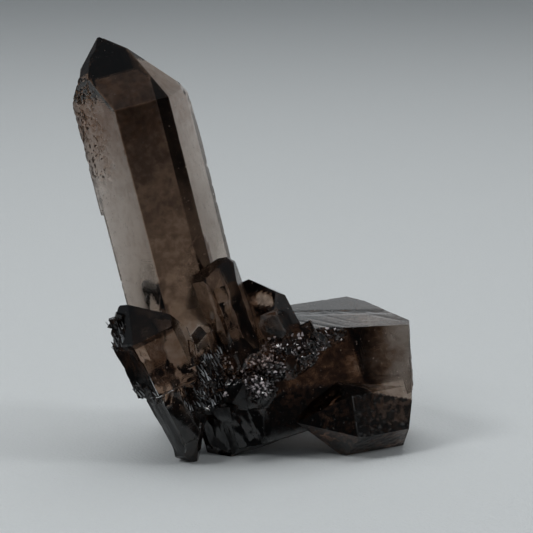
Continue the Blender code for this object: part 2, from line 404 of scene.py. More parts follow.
def splitEdges(mesh, step, fineStep):
    points = [vert.co.copy() for vert in mesh.verts]
    mesh.verts.index_update()
    mesh.edges.index_update()
    middles = np.array([(edge.verts[0].co + edge.verts[1].co) / 2 for edge in mesh.edges])
    broken = fineMask(middles) > 0.0
    runs = {}
    for edge in mesh.edges:
        start, end = edge.verts
        count = max(1, round(edge.calc_length() / (fineStep if broken[edge.index] else step)))
        run = [start.index]
        for k in range(1, count):
            run.append(len(points))
            points.append(start.co.lerp(end.co, k / count))
        run.append(end.index)
        runs[edge.index] = run
    return points, runs


def outlineOf(face, runs):
    outline = []
    for loop in face.loops:
        run = runs[loop.edge.index]
        outline += run[:-1] if run[0] == loop.vert.index else run[:0:-1]
    return outline


# A grid inside a flat outline, and how far each of its points stands from the outline
def gridInside(outline, step):
    low, high = outline.min(axis=0), outline.max(axis=0)
    across = [np.arange(low[k] + 0.5 * step, high[k], step) for k in range(2)]
    grid = np.stack(np.meshgrid(*across), axis=-1).reshape(-1, 2)
    if len(grid) == 0:
        return grid, np.zeros(0)
    ends = np.roll(outline, -1, axis=0)
    px, py = grid[:, :1], grid[:, 1:]
    ax, ay, bx, by = outline[:, 0], outline[:, 1], ends[:, 0], ends[:, 1]
    rise = np.where(by == ay, 1e-12, by - ay)
    crossed = ((ay > py) != (by > py)) & (px < (bx - ax) * (py - ay) / rise + ax)
    inside = crossed.sum(axis=1) % 2 == 1
    dx, dy = bx - ax, by - ay
    share = ((px - ax) * dx + (py - ay) * dy) / np.maximum(dx * dx + dy * dy, 1e-12)
    share = np.clip(share, 0.0, 1.0)
    gap = np.sqrt((px - ax - share * dx) ** 2 + (py - ay - share * dy) ** 2).min(axis=1)
    keep = inside & (gap > stone["rimShare"] * step)
    return grid[keep], gap[keep]


# A face's own grid points, as places on its plane
def liftGrid(grid, ways):
    return grid @ ways[:2] + ways[2]


# The coarse grid, and between its points the fine one where the surface is broken or etched
def gridOf(outline, ways, step, fineStep, etched):
    fine, fineGap = gridInside(outline, fineStep)
    coarse, coarseGap = gridInside(outline, step)
    if len(fine) == 0:
        return fine, fineGap
    broken = fineMask(liftGrid(fine, ways)) > 0.0
    if etched:
        broken[:] = True
    if not broken.any():
        return coarse, coarseGap
    if len(coarse) == 0:
        return fine[broken], fineGap[broken]
    plain = fineMask(liftGrid(coarse, ways)) == 0.0
    if etched:
        plain[:] = False
    near = fine[broken]
    kept = coarse[plain]
    gaps = coarseGap[plain]
    if len(kept):
        away = np.array([np.abs(near - place).max(axis=1).min() for place in kept])
        clear = away > stone["spaceShare"] * fineStep
        kept = kept[clear]
        gaps = gaps[clear]
    return np.concatenate((near, kept)), np.concatenate((fineGap[broken], gaps))


# The way of the crystal's growth along a face, or any way along it where they stand crosswise
def alongFace(axis, normal):
    for way in (axis, Vector((0.0, 0.0, 1.0)), Vector((1.0, 0.0, 0.0))):
        along = way - normal * way.dot(normal)
        if along.length > 0.3:
            return along.normalized()


# Each flat face becomes triangles on its own plane, and neighbours share the points of their edge
def diceFaces(mesh, step, fineStep):
    points, runs = splitEdges(mesh, step, fineStep)
    gaps = [0.0] * len(points)
    faces = []
    etchedWay = Vector(faceWay("tall", tallTurns["left"]))
    for face in mesh.faces:
        outline = outlineOf(face, runs)
        normal = face.normal
        name = nearestCrystal(face.calc_center_median())
        along = alongFace(axisOf(name)[2], normal)
        across = normal.cross(along)
        flat = np.array([(points[k].dot(along), points[k].dot(across)) for k in outline])
        heights = [points[k].dot(normal) for k in outline]
        height = sum(heights) / len(heights)
        ways = np.array((along, across, normal * height))
        etched = name == "lowRight" or (name == "tall" and normal.dot(etchedWay) > stone["etchedFaces"])
        inner, gap = gridOf(flat, ways, step, fineStep, etched)
        if len(inner) == 0 or max(heights) - min(heights) > stone["flatness"]:
            faces.append(outline)
            continue
        corners = [Vector(place) for place in np.concatenate((flat, inner))]
        inside = 1  # keep only the triangles inside the outline
        made = delaunay_2d_cdt(corners, [], [list(range(len(outline)))], inside, 1e-7)
        if len(made[0]) != len(corners):
            faces.append(outline)
            continue
        names = outline + list(range(len(points), len(points) + len(inner)))
        points += [Vector(place) for place in liftGrid(inner, ways).tolist()]
        gaps += gap.tolist()
        order = [names[source[0]] for source in made[3]]
        faces += [[order[k] for k in triangle] for triangle in made[2]]
    return points, faces, gaps


def seedShift(seed):
    return Vector((seed * 7.3, seed * 3.1, seed * 5.7))


def noiseAt(places, size, seed):
    shift = seedShift(seed)
    return np.array([noise.noise(Vector(place) / size + shift) for place in places.tolist()])


# Flat-sided ridges without steps between them, stretched along the crystal
def ridgesAt(places, size, seed, grain, stretch):
    shift = seedShift(seed)
    turn = Vector(grain).normalized().rotation_difference(Vector((0.0, 0.0, 1.0)))
    heights = []
    for place in places.tolist():
        here = turn @ (Vector(place) / size)
        here.z /= stretch
        heights.append(noise.voronoi(here + shift, distance_metric="CHEBYCHEV")[0][0])
    return np.array(heights)


# Small tilted planes side by side, stretched along the grain of the break
def facetsAt(places, size, seed, grain, stretch):
    shift = seedShift(seed)
    way = Vector(grain).normalized()
    heights = []
    for place in places.tolist():
        here = Vector(place) / size
        here = here - way * (here.dot(way) * (1.0 - 1.0 / stretch)) + shift
        seat = noise.voronoi(here)[1][0]
        tilt = noise.noise_vector(seat * 3.7).normalized()
        heights.append((here - seat).dot(tilt))
    return np.array(heights)


# 1 inside an ellipsoid, and 0 from a little outside it
def ellipsoidMask(places, middle, half):
    away = np.linalg.norm((places - np.array(middle)) / np.array(half), axis=1)
    return 1.0 - smooth(away, *stone["spotFade"])


# The way out of a crystal's side, a turn in degrees about its axis from the camera's side
def faceWay(name, turn):
    axis = axisOf(name)[2]
    front = Vector((0.0, -1.0, 0.0))
    front = (front - axis * front.dot(axis)).normalized()
    side = axis.cross(front)
    angle = math.radians(turn)
    return np.array(front * math.cos(angle) + side * math.sin(angle))


# 1 on one side of the tall crystal and 0 on its others
def tallSide(skin, side, low=0.9, high=0.97):
    return smooth(skin["normals"] @ faceWay("tall", tallTurns[side]), low, high)


def spotMask(places, spots):
    return np.max([ellipsoidMask(places, spot["middle"], spot["half"]) for spot in spots], axis=0)


def fineMask(places):
    return spotMask(places, brokenPlaces + ridgedPlaces)


def surfaceOf(mesh, gaps):
    places = np.array([vert.co for vert in mesh.verts])
    normals = np.array([vert.normal for vert in mesh.verts])
    names = [nearestCrystal(vert.co) for vert in mesh.verts]
    along = np.zeros(len(places))
    beside = np.zeros(len(places))
    for name in crystals:
        mine = np.array([other == name for other in names])
        root, tip, axis = axisOf(name)
        along[mine] = (np.array(tip) - places[mine]) @ np.array(axis)
        beside[mine] = normals[mine] @ np.array(axis)
    return {
        "places": places,
        "normals": normals,
        "gaps": np.array(gaps),
        "names": np.array(names),
        "fromTip": along,
        "tilt": beside,
        "broken": spotMask(places, brokenPlaces),
    }


# Low steps across the prisms, where the crystals stopped growing and went on
growth = {
    "stepSize": 0.8,
    "acrossSize": 9.0,
    "broadSize": 4.0,
    "fineShare": 0.5,
    "broadShare": 0.7,
}


def growthSteps(skin):
    across = skin["places"][:, :2] / growth["acrossSize"]
    lines = np.stack((skin["fromTip"] / growth["stepSize"], across[:, 0], across[:, 1]), axis=1)
    fine = growth["fineShare"] * noiseAt(lines, 1.0, 2)
    broad = growth["broadShare"] * noiseAt(lines, growth["broadSize"], 3)
    prism = 1.0 - smooth(np.abs(skin["tilt"]), 0.15, 0.4)
    return stone["stepDepth"] * (0.5 + fine + broad) * prism * (1.0 - skin["broken"])


# Thin winding grooves and small pits that acid left on the tall crystal's left face
etching = {
    "outerEdge": (-3.5, 1.5),
    "fadesFromTip": (20.0, 32.0),
    "elsewhere": 0.12,
    "patchSize": 5.0,
    "grooveSize": 1.5,
    "grooveWidth": (0.02, 0.14),
    "pitSize": 0.8,
    "pitShare": 0.8,
}


def etchGrooves(skin):
    places = skin["places"]
    facing = tallSide(skin, "left", low=0.85)
    outward = -faceWay("tall", tallTurns["left"] + 90.0)
    outer = smooth((places - np.array(crystals["tall"]["root"])) @ outward, *etching["outerEdge"])
    high = 1.0 - smooth(skin["fromTip"], *etching["fadesFromTip"])
    patches = smooth(noiseAt(places, etching["patchSize"], 12), -0.15, 0.15)
    zone = np.maximum(high * outer, etching["elsewhere"] * patches)
    zone = (skin["names"] == "tall") * facing * zone
    grooves = 1.0 - smooth(np.abs(noiseAt(places, etching["grooveSize"], 4)), *etching["grooveWidth"])
    pits = smooth(noiseAt(places, etching["pitSize"], 5), 0.25, 0.45)
    return stone["etchDepth"] * (grooves * patches + etching["pitShare"] * pits) * zone


# The left and right edges of the tall crystal are nibbled, and the others nearly whole
chips = {
    "size": 1.1,
    "zoneSize": 7.0,
    "otherCrystals": 0.3,
}


def edgeChips(skin):
    near = 1.0 - smooth(skin["gaps"], 0.0, stone["chipWidth"])
    worn = smooth(noiseAt(skin["places"], chips["size"], 6), 0.15, 0.45)
    sides = np.abs(skin["normals"] @ faceWay("tall", tallTurns["edges"]))
    where = np.where(skin["names"] == "tall", smooth(sides, 0.5, 0.9), chips["otherCrystals"])
    where = where * smooth(noiseAt(skin["places"], chips["zoneSize"], 13), -0.2, 0.2)
    return stone["chipDepth"] * near * worn * where * (1.0 - skin["broken"])


# A coarse and a fine relief in each of the places
def depthAt(places, spots, sizes, shapeAt, seed):
    depth = np.zeros(len(places))
    for k, spot in enumerate(spots):
        mask = ellipsoidMask(places, spot["middle"], spot["half"])
        mine = mask > 0.0
        coarse = shapeAt(places[mine], sizes["coarse"], seed + k, spot["grain"], sizes["stretch"])
        fine = shapeAt(places[mine], sizes["fine"], seed + 20 + k, spot["grain"], sizes["stretch"])
        deep = spot.get("depth", stone["brokenDepth"]) * mask[mine]
        shape = sizes["base"] + sizes["coarseShare"] * coarse + sizes["fineShare"] * fine
        depth[mine] = np.maximum(depth[mine], deep * shape.clip(0.0, 2.0))
    return depth


def brokenFacets(skin):
    return depthAt(skin["places"], brokenPlaces, brokenFacetSizes, facetsAt, 20)


def ridges(skin):
    deep = depthAt(skin["places"], ridgedPlaces, ridgeSizes, ridgesAt, 60)
    return deep * (1.0 - skin["broken"])


# An undercut in the right-hand point, through which the light behind it shows
notch = {
    "middle": (3.3, -8.7, 31.2),
    "way": (-0.46, -0.78, 0.42),
    "halfWide": 2.3,
    "halfHigh": 1.35,
    "lean": 0.85,
    "lip": 0.25,
}


def paleNotch(skin):
    face = Vector(notch["way"]).normalized()
    wide = Vector((0.0, 0.0, 1.0)).cross(face).normalized()
    high = face.cross(wide)
    off = skin["places"] - np.array(notch["middle"])
    across = off @ np.array(wide)
    up = off @ np.array(high)
    inside = smooth(notch["halfWide"] - np.abs(across), 0.0, notch["lip"])
    inside = inside * smooth(notch["halfHigh"] - np.abs(up), 0.0, notch["lip"])
    inside = inside * (skin["normals"] @ np.array(face) > 0.9)
    return inside * notch["lean"] * (notch["halfHigh"] - up)


# The rough places: the lying crystal's right end, the ledge at the back of its top, the slanting
# streaks in front of the ledge, and crumbs on the low-right crystal
roughPlaces = {
    "end": 1.6,
    "ledge": 0.8,
    "ledgeFront": (3.6, 4.6),
    "ledgeBack": (6.4, 7.4),
    "pitSizes": (1.4, 0.8),
    "streaks": 0.35,
    "streaksBack": (3.0, 4.0),
    "streakSize": 2.2,
    "crumbs": 0.55,
    "crumbSizes": (0.9, 0.5),
}


def roughFaces(skin):
    places = skin["places"]
    coarse, fine = roughPlaces["pitSizes"]
    pits = 0.6 * noiseAt(places, coarse, 9) + 0.5 * noiseAt(places, fine, 10) + 0.5
    lying = skin["names"] == "lying"
    end = lying * smooth(skin["normals"][:, 0], 0.6, 0.9)
    top = lying * smooth(skin["normals"][:, 2], 0.9, 0.97)
    ledge = top * smooth(places[:, 1], *roughPlaces["ledgeFront"])
    ledge = ledge * (1.0 - smooth(places[:, 1], *roughPlaces["ledgeBack"]))
    slant = np.stack((places[:, 0] + 1.2 * places[:, 1], 0.15 * places[:, 1], places[:, 2]), axis=1)
    streaks = top * (1.0 - smooth(places[:, 1], *roughPlaces["streaksBack"]))
    streaks = streaks * smooth(noiseAt(slant, roughPlaces["streakSize"], 15), 0.1, 0.35)
    low = (skin["names"] == "lowRight") * (1.0 - smooth(np.abs(skin["tilt"]), 0.1, 0.3))
    coarse, fine = roughPlaces["crumbSizes"]
    crumbs = (0.9 * noiseAt(places, coarse, 17) + 0.6 * noiseAt(places, fine, 18) + 0.6).clip(0.0, 2.0)
    rough = np.maximum(roughPlaces["end"] * end, roughPlaces["ledge"] * ledge) * pits
    rough = rough + roughPlaces["crumbs"] * low * crumbs + roughPlaces["streaks"] * streaks
    return stone["roughDepth"] * rough


# Spots that are darker or clearer than their crystal: middle, half sizes, darkness
darkSpots = (
    ((3.2, -8.7, 31.2), (2.1, 2.0, 1.3), 0.0),
    ((1.2, -7.0, 32.6), (1.5, 1.6, 1.1), 0.95),
    ((4.9, -10.4, 27.3), (3.0, 3.0, 2.2), 0.62),
    ((-3.7, -14.3, 33.6), (2.2, 3.0, 3.4), 0.42),
    ((-3.8, -11.6, 38.2), (2.6, 3.0, 1.1), 0.75),
    ((-16.1, -9.4, 33.0), (1.0, 1.6, 2.2), 0.7),
    ((-18.1, -17.8, 26.9), (1.6, 2.0, 1.5), 0.45),
    ((-12.3, -16.0, 6.0), (1.6, 3.0, 3.0), 0.42),
)


# How dark the crystals are, from 0, clear, to 1, black. The tall front face clears by so much in each
# millimetre from its tip, and the lying front face from the dark tip at the left to the right end.
darkness = {
    "tallFront": 0.805,
    "tallFrontClears": 0.0082,
    "tallFrontFrom": 16.0,
    "tallFoot": 0.12,
    "tallFootAt": (50.0, 66.0),
    "tallHead": 0.78,
    "tallRest": 0.42,
    "tallRestTo": (12.0, 36.0),
    "lyingFront": 0.66,
    "lyingClears": 0.62,
    "lyingClearsAt": (19.0, 33.0),
    "lyingRagged": 6.0,
    "lyingLeft": 0.28,
    "lyingLeftTo": (-2.0, 9.0),
    "lyingTop": 0.3,
    "lyingTopBand": 0.3,
    "lyingTopFront": (3.5, 5.0),
    "lyingTopBack": (6.4, 7.4),
    "lyingTipTo": (14.0, 22.0),
    "lowRightEnds": 1.0,
    "lowRightSides": 0.97,
    "leftUpEnd": 0.82,
    "leftUpEndTo": 8.0,
    "leftUp": 0.4,
    "leftDown": 0.72,
    "leftSides": 0.86,
    "middle": 0.6,
    "rightUp": 0.6,
    "broken": 0.82,
    "crumbsClearer": 0.52,
    "crumbMiddle": (-0.5, -12.0, 21.0),
    "crumbHalf": (6.5, 6.0, 4.5),
}


def tallSmoke(skin):
    fromTip = skin["fromTip"]
    fade = darkness["tallFront"] - darkness["tallFrontClears"] * (fromTip - darkness["tallFrontFrom"])
    fade = fade - darkness["tallFoot"] * smooth(fromTip, *darkness["tallFootAt"])
    front = tallSide(skin, "front") * fade
    head = darkness["tallHead"] * tallSide(skin, "front", 0.6, 0.7) * smooth(skin["tilt"], 0.4, 0.55)
    rest = darkness["tallRest"] * (1.0 - smooth(fromTip, *darkness["tallRestTo"]))
    rest = rest * (skin["normals"][:, 0] < 0.2)
    return np.maximum.reduce((front, head, rest))


def lyingSmoke(skin):
    places = skin["places"]
    ragged = places[:, 0] + darkness["lyingRagged"] * noiseAt(places, 5.0, 21)
    front = darkness["lyingFront"] - darkness["lyingClears"] * smooth(ragged, *darkness["lyingClearsAt"])
    front = front + darkness["lyingLeft"] * (1.0 - smooth(places[:, 0], *darkness["lyingLeftTo"]))
    back = smooth(places[:, 1], *darkness["lyingTopBack"])
    band = smooth(places[:, 1], *darkness["lyingTopFront"]) * (1.0 - back)
    top = darkness["lyingTop"] + darkness["lyingTopBand"] * band - darkness["lyingTop"] * back
    return np.where(skin["normals"][:, 2] > 0.8, top, front)


def smokeShare(skin):
    names = skin["names"]
    fromTip = skin["fromTip"]
    leftUp = np.where(fromTip < darkness["leftUpEndTo"], darkness["leftUpEnd"], darkness["leftUp"])
    ends = np.abs(skin["tilt"]) > 0.3
    shares = {
        "tall": tallSmoke(skin),
        "lying": lyingSmoke(skin),
        "lowRight": np.where(ends, darkness["lowRightEnds"], darkness["lowRightSides"]),
        "leftUp": leftUp,
        "leftDown": darkness["leftDown"],
        "middle": darkness["middle"],
        "rightUp": darkness["rightUp"],
    }
    dark = np.zeros(len(fromTip))
    for name, share in shares.items():
        dark = np.where(names == name, share, dark)
    leftSides = np.isin(names, ("leftUp", "leftDown")) * smooth(-skin["normals"][:, 0], 0.4, 0.6)
    dark = dark + (darkness["leftSides"] - dark) * leftSides
    tip = (names == "lying") * (1.0 - smooth(fromTip, *darkness["lyingTipTo"]))
    crumbly = ellipsoidMask(skin["places"], darkness["crumbMiddle"], darkness["crumbHalf"])
    broken = (darkness["broken"] - darkness["crumbsClearer"] * crumbly) * skin["broken"]
    dark = np.maximum(np.maximum(dark, tip), broken)
    for middle, half, share in darkSpots:
        dark = dark + (share - dark) * ellipsoidMask(skin["places"], middle, half)
    return dark.clip(0.0, 1.0)


# How frosted the faces are. The backs are frosted most, and their numbers are above 1 on purpose.
frosting = {
    "tallLeft": 0.8,
    "leftPatchSize": 4.0,
    "tallFront": 1.1,
    "tallFrontFrom": (26.0, 60.0),
    "tallRear": 1.1,
    "tallBack": 2.4,
    "tallBackFrom": (24.0, 36.0),
    "lyingEnd": 2.4,
    "lyingBack": 2.4,
    "lyingBackFrom": (18.0, 28.0),
    "lyingRight": 0.8,
    "lyingRightFrom": (24.0, 30.0),
    "lowRight": 0.7,
}


def frostShare(skin):
    normals = skin["normals"]
    fromTip = skin["fromTip"]
    toRight = skin["places"][:, 0]
    tall = skin["names"] == "tall"
    lying = skin["names"] == "lying"
    patches = smooth(noiseAt(skin["places"], frosting["leftPatchSize"], 14), -0.25, 0.25)
    front = tall * tallSide(skin, "front") * smooth(fromTip, *frosting["tallFrontFrom"])
    rear = tall * smooth(normals[:, 1], 0.1, 0.3) * (skin["tilt"] < 0.3)
    lyingBack = lying * smooth(normals[:, 1], 0.2, 0.5) * smooth(toRight, *frosting["lyingBackFrom"])
    lowPrism = (skin["names"] == "lowRight") * (1.0 - smooth(np.abs(skin["tilt"]), 0.1, 0.3))
    frost = np.maximum.reduce((
        frosting["tallLeft"] * (tall * tallSide(skin, "left", 0.6, 0.9)) * patches,
        frosting["tallFront"] * front,
        frosting["tallRear"] * rear,
        frosting["tallBack"] * (rear * smooth(fromTip, *frosting["tallBackFrom"])),
        frosting["lyingEnd"] * (lying * smooth(normals[:, 0], 0.6, 0.9)),
        frosting["lyingBack"] * lyingBack,
        frosting["lyingRight"] * (lying * smooth(toRight, *frosting["lyingRightFrom"])),
        frosting["lowRight"] * lowPrism,
    ))
    return frost * (1.0 - skin["broken"])


# The lying crystals are full of small dark clouds
mottling = {
    "lying": 0.7,
    "lowRight": 0.8,
    "others": 0.25,
}


def mottledShare(skin):
    lying = (skin["names"] == "lying") * mottling["lying"]
    share = np.where(skin["names"] == "lowRight", mottling["lowRight"], lying)
    return share.clip(mottling["others"], 1.0)


# Where the scattered pieces go: splinters on the breaks and flecks just under the clear faces
heaping = {
    "heapSize": 2.6,
    "betweenHeaps": 0.35,
    "aboveFloor": (1.5, 3.0),
    "crumbMiddle": (0.6, -12.0, 22.0),
    "crumbHalf": (6.0, 5.5, 4.6),
    "streakedTo": -4.0,
    "cloudSize": 3.2,
    "besideLeftFace": 0.35,
    "flecksFromTip": (14.0, 20.0),
    "flecksAbove": (16.0, 20.0),
}


def scatterMasks(skin):
    places = skin["places"]
    names = skin["names"]
    least = heaping["betweenHeaps"]
    heaps = least + (1.0 - least) * smooth(noiseAt(places, heaping["heapSize"], 19), -0.15, 0.2)
    off = smooth(places[:, 2], *heaping["aboveFloor"])
    crumb = ellipsoidMask(places, heaping["crumbMiddle"], heaping["crumbHalf"])
    streaked = np.isin(names, ("leftUp", "leftDown")) + (places[:, 0] < heaping["streakedTo"])
    front = smooth(-skin["normals"][:, 1], 0.3, 0.6)
    clouds = smooth(noiseAt(places, heaping["cloudSize"], 16), 0.0, 0.3)
    least = heaping["besideLeftFace"]
    left = least + (1.0 - least) * tallSide(skin, "left", low=0.85)
    tall = (names == "tall") * front * clouds * left
    tall = tall * smooth(skin["fromTip"], *heaping["flecksFromTip"])
    middle = (names == "middle") * front * clouds
    high = smooth(places[:, 2], *heaping["flecksAbove"])
    return {
        "seam": skin["broken"] * off * ~streaked * heaps * (1.0 - crumb),
        "crumb": skin["broken"] * crumb,
        "streak": skin["broken"] * off * streaked * heaps,
        "fleck": np.maximum(tall, middle) * (1.0 - skin["broken"]) * high,
    }


def addAttribute(data, name, values):
    layer = data.attributes.new(name, "FLOAT", "POINT")
    layer.data.foreach_set("value", np.asarray(values, dtype=np.float32))


def makeStone():
    noise.seed_set(stone["facetSeed"])  # the facets' tilts would start from the clock otherwise
    mesh = cadCopy()
    print("copied the stone:", len(mesh.faces), "flat faces")
    step = stone["grid"]
    points, faces, gaps = diceFaces(mesh, step, stone["fineGrid"])
    mesh.free()
    data = bpy.data.meshes.new("crystalCluster")
    data.from_pydata(points, [], faces)
    mesh = bmesh.new()
    mesh.from_mesh(data)
    bmesh.ops.triangulate(mesh, faces=mesh.faces)
    bmesh.ops.recalc_face_normals(mesh, faces=mesh.faces)
    mesh.normal_update()
    print("cut the faces into grids:", len(mesh.faces), "triangles")
    print("edges without two faces:", sum(len(edge.link_faces) != 2 for edge in mesh.edges))
    skin = surfaceOf(mesh, gaps)
    depth = growthSteps(skin) + etchGrooves(skin) + edgeChips(skin) + roughFaces(skin)
    depth += brokenFacets(skin) + ridges(skin)
    depth = np.maximum(depth, paleNotch(skin))
    depth *= smooth(skin["places"][:, 2], 0.0, stone["restHeight"])
    moved = skin["places"] - skin["normals"] * depth[:, None]
    for vert, place in zip(mesh.verts, moved.tolist()):
        vert.co = Vector(place) * mm
    mesh.to_mesh(data)
    mesh.free()
    addAttribute(data, "smoke", smokeShare(skin))
    addAttribute(data, "frost", frostShare(skin))
    addAttribute(data, "mottled", mottledShare(skin))
    for name, mask in scatterMasks(skin).items():
        addAttribute(data, name, mask)
    addAttribute(data, "fromTip", skin["fromTip"])
    data.shade_smooth()
    data.set_sharp_from_angle(angle=math.radians(stone["sharpAngle"]))
    print("raised the pits, chips and steps")
    piece = bpy.data.objects.new("crystalCluster", data)
    bpy.context.scene.collection.objects.link(piece)
    data.materials.append(quartzLook())
    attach(piece, "root")
    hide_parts(stoneNode)
    return piece


# Clear quartz with a brown smoke in it, and a tint on its faces that grows to black. The sizes of
# clouds, grains, pits and lines are in millimetres, and the depths are in metres.
quartz = {
    "ior": 1.544,
    "clearness": 1.0,
    "tints": (
        (0.0, (0.95, 0.92, 0.89, 1.0)),
        (0.45, (0.33, 0.21, 0.14, 1.0)),
        (0.62, (0.105, 0.061, 0.040, 1.0)),
        (0.78, (0.03, 0.0175, 0.0125, 1.0)),
        (1.0, (0.0008, 0.0006, 0.0005, 1.0)),
    ),
    "mottle": 0.12,
    "grain": 0.36,
    "gloss": 0.03,
    "frosted": 0.25,
    "pitted": 0.35,
    "smokeColour": (0.42, 0.30, 0.20, 1.0),
    "smokeDensity": 82.0,
    "clouds": {"Size": 3.0, "From": 0.35, "To": 0.65},
    "grains": {"Size": 1.1, "From": 0.35, "To": 0.65},
    "pits": {"Size": 0.6, "From": 0.66, "To": 0.74},
    "cloudDetail": 4.0,
    "pitDepth": 0.00006,
    "lineSize": 0.25,
    "lineDepth": 0.00003,
    "lineDetail": 3.0,
    "lineFadeScale": 160.0,
}


def newGroup(name, inputs, outputs):
    group = bpy.data.node_groups.new(name, "ShaderNodeTree")
    for socket, kind, value in inputs:
        made = group.interface.new_socket(socket, in_out="INPUT", socket_type=kind)
        if value is not None:
            made.default_value = value
    for socket, kind in outputs:
        group.interface.new_socket(socket, in_out="OUTPUT", socket_type=kind)
    entry = group.nodes.new("NodeGroupInput")
    leave = group.nodes.new("NodeGroupOutput")
    return group, entry, leave


# Soft spots of one size
def cloudGroup():
    group, entry, leave = newGroup(
        "quartzCloud",
        (
            ("Vector", "NodeSocketVector", None),
            ("Size", "NodeSocketFloat", 3.0),
            ("From", "NodeSocketFloat", 0.4),
            ("To", "NodeSocketFloat", 0.6),
        ),
        (("Mask", "NodeSocketFloat"),),
    )
    scale = calculate(group, "DIVIDE", 1.0 / mm, entry.outputs["Size"])
    cloud = group.nodes.new("ShaderNodeTexNoise")
    cloud.inputs["Detail"].default_value = quartz["cloudDetail"]
    limit = group.nodes.new("ShaderNodeMapRange")
    limit.interpolation_type = "SMOOTHSTEP"
    linkNodes(group, (
        (entry.outputs["Vector"], cloud.inputs["Vector"]),
        (scale, cloud.inputs["Scale"]),
        (cloud.outputs["Fac"], limit.inputs["Value"]),
        (entry.outputs["From"], limit.inputs["From Min"]),
        (entry.outputs["To"], limit.inputs["From Max"]),
        (limit.outputs["Result"], leave.inputs["Mask"]),
    ))
    return group


# Fine lines across the crystals, which come and go
def growthGroup():
    group, entry, leave = newGroup(
        "growthLines",
        (
            ("Along", "NodeSocketFloat", 0.0),
            ("Vector", "NodeSocketVector", None),
            ("Size", "NodeSocketFloat", 0.25),
        ),
        (("Height", "NodeSocketFloat"),),
    )
    lines = group.nodes.new("ShaderNodeTexNoise")
    lines.noise_dimensions = "1D"
    lines.inputs["Scale"].default_value = 1.0
    lines.inputs["Detail"].default_value = quartz["lineDetail"]
    narrow = calculate(group, "DIVIDE", entry.outputs["Along"], entry.outputs["Size"])
    patches = group.nodes.new("ShaderNodeTexNoise")
    patches.inputs["Scale"].default_value = quartz["lineFadeScale"]
    both = calculate(group, "MULTIPLY", lines.outputs["Fac"], patches.outputs["Fac"])
    linkNodes(group, (
        (narrow, lines.inputs["W"]),
        (entry.outputs["Vector"], patches.inputs["Vector"]),
        (both, leave.inputs["Height"]),
    ))
    return group


def placeGroup(tree, group, values):
    node = tree.nodes.new("ShaderNodeGroup")
    node.node_tree = group
    for socket, value in values.items():
        if isinstance(value, bpy.types.NodeSocket):
            tree.links.new(value, node.inputs[socket])
        else:
            node.inputs[socket].default_value = value
    return node


# A mask as a change up and down from nothing
def changeBy(tree, mask, strength):
    return calculate(tree, "MULTIPLY", calculate(tree, "SUBTRACT", mask, 0.5), strength)


def quartzLook():
    look = bpy.data.materials.new("smokyQuartz")
    look.use_nodes = True
    tree = look.node_tree
    shader = tree.nodes["Principled BSDF"]
    shader.inputs["Transmission Weight"].default_value = quartz["clearness"]
    shader.inputs["IOR"].default_value = quartz["ior"]
    place = tree.nodes.new("ShaderNodeTexCoord").outputs["Object"]
    dark = readAttribute(tree, "smoke")
    frost = readAttribute(tree, "frost")
    fromTip = readAttribute(tree, "fromTip")
    cloud = cloudGroup()
    mottle = placeGroup(tree, cloud, {"Vector": place, **quartz["clouds"]}).outputs["Mask"]
    fine = placeGroup(tree, cloud, {"Vector": place, **quartz["grains"]}).outputs["Mask"]
    specks = placeGroup(tree, cloud, {"Vector": place, **quartz["pits"]}).outputs["Mask"]
    values = {"Along": fromTip, "Vector": place, "Size": quartz["lineSize"]}
    lines = placeGroup(tree, growthGroup(), values)
    grain = changeBy(tree, fine, quartz["grain"])
    grain = calculate(tree, "MULTIPLY", grain, readAttribute(tree, "mottled"))
    darker = calculate(tree, "ADD", dark, changeBy(tree, mottle, quartz["mottle"]))
    darker = calculate(tree, "ADD", darker, grain)
    ramp = tree.nodes.new("ShaderNodeValToRGB")
    fillRamp(ramp, quartz["tints"])
    tree.links.new(darker, ramp.inputs["Fac"])
    tree.links.new(ramp.outputs["Color"], shader.inputs["Base Color"])
    rough = calculate(tree, "MULTIPLY", frost, quartz["frosted"])
    rough = calculate(tree, "ADD", rough, quartz["gloss"])
    pitted = calculate(tree, "MULTIPLY", specks, quartz["pitted"])
    rough = calculate(tree, "MAXIMUM", rough, pitted)
    tree.links.new(rough, shader.inputs["Roughness"])
    lineBump = tree.nodes.new("ShaderNodeBump")
    lineBump.inputs["Distance"].default_value = quartz["lineDepth"]
    pitBump = tree.nodes.new("ShaderNodeBump")
    pitBump.inputs["Distance"].default_value = quartz["pitDepth"]
    pitBump.invert = True
    smoke = tree.nodes.new("ShaderNodeVolumeAbsorption")
    smoke.inputs["Color"].default_value = quartz["smokeColour"]
    smoke.inputs["Density"].default_value = quartz["smokeDensity"]
    linkNodes(tree, (
        (lines.outputs["Height"], lineBump.inputs["Height"]),
        (specks, pitBump.inputs["Height"]),
        (lineBump.outputs["Normal"], pitBump.inputs["Normal"]),
        (pitBump.outputs["Normal"], shader.inputs["Normal"]),
        (smoke.outputs["Volume"], tree.nodes["Material Output"].inputs["Volume"]),
    ))
    return look
